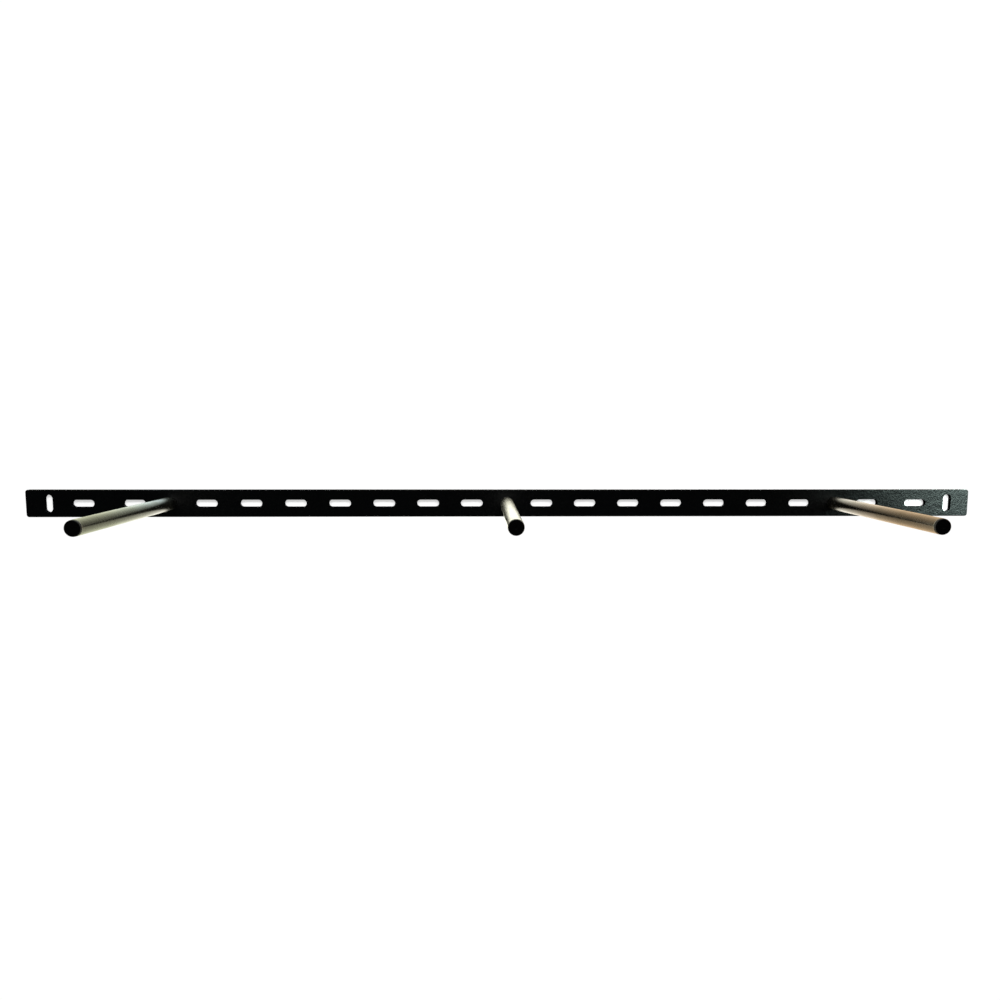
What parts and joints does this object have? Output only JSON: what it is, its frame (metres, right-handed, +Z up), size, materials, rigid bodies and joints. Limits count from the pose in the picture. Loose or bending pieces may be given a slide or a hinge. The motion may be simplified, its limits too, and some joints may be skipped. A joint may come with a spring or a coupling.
{
  "type": "wall cue rack",
  "caption": "Slotted flat bar that fixes to a wall, with round pegs standing straight out of it to carry cues laid across them.",
  "frame": {"origin": "centre of the bar's back face, on the wall plane", "axes": "+X along the bar, to the right as seen from the room; +Y into the wall; +Z up. The pegs reach towards -Y"},
  "size_m": [1.08, 0.205, 0.031],
  "materials": {
    "powder_coat": "matte",
    "satin_metal": "satin",
    "black_plastic": "matte",
    "turned_steel": "satin",
    "zinc_steel": "satin"
  },
  "bodies": {
    "root": {"rail": "powder_coat", "peg_tube_left": "satin_metal", "peg_tube_centre": "satin_metal", "peg_tube_right": "satin_metal", "end_cap_left": "black_plastic", "end_cap_centre": "black_plastic", "end_cap_right": "black_plastic", "threaded_insert_left": "turned_steel", "threaded_insert_centre": "turned_steel", "threaded_insert_right": "turned_steel", "peg_screw_left": "zinc_steel", "peg_screw_centre": "zinc_steel", "peg_screw_right": "zinc_steel"}
  },
  "joints": []
}
